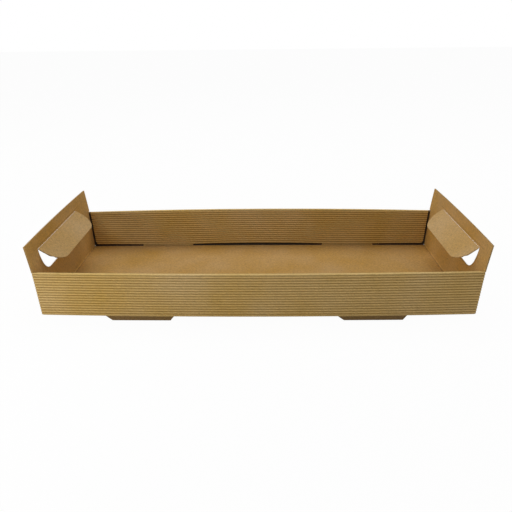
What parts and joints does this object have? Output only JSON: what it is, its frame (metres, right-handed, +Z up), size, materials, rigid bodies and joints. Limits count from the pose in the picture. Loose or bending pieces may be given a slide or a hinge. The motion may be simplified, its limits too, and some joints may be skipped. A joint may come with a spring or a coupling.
{
  "type": "folded cardboard tray box",
  "caption": "Shallow rectangular tray folded from open-ridged single-face corrugated board, with double long walls, raised end panels and a D-shaped hand hole with a fold-in flap in each end.",
  "frame": {"origin": "midway along and across the tray, level with the lowest edges of the four tabs it stands on", "axes": "+X along the tray towards the right end in the picture, +Y across it away from the camera, +Z up"},
  "size_m": [0.5126, 0.204, 0.0953],
  "materials": {
    "kraft_board": "matt brown kraft board, ridged on one face and smooth on the other"
  },
  "bodies": {
    "tray": {"folded_tray": "kraft_board"},
    "left_flap": {"left_hand_flap": "kraft_board"},
    "right_flap": {"right_hand_flap": "kraft_board"}
  },
  "joints": [
    {"name": "left_flap_fold", "type": "hinge", "parent": "tray", "child": "left_flap", "pos_m": [-0.25366, 0, 0.07931], "axis": [0, -1, 0], "range_deg": [-60, 100]},
    {"name": "right_flap_fold", "type": "hinge", "parent": "tray", "child": "right_flap", "pos_m": [0.25366, 0, 0.07931], "axis": [0, 1, 0], "range_deg": [-55.5, 104.5]}
  ]
}
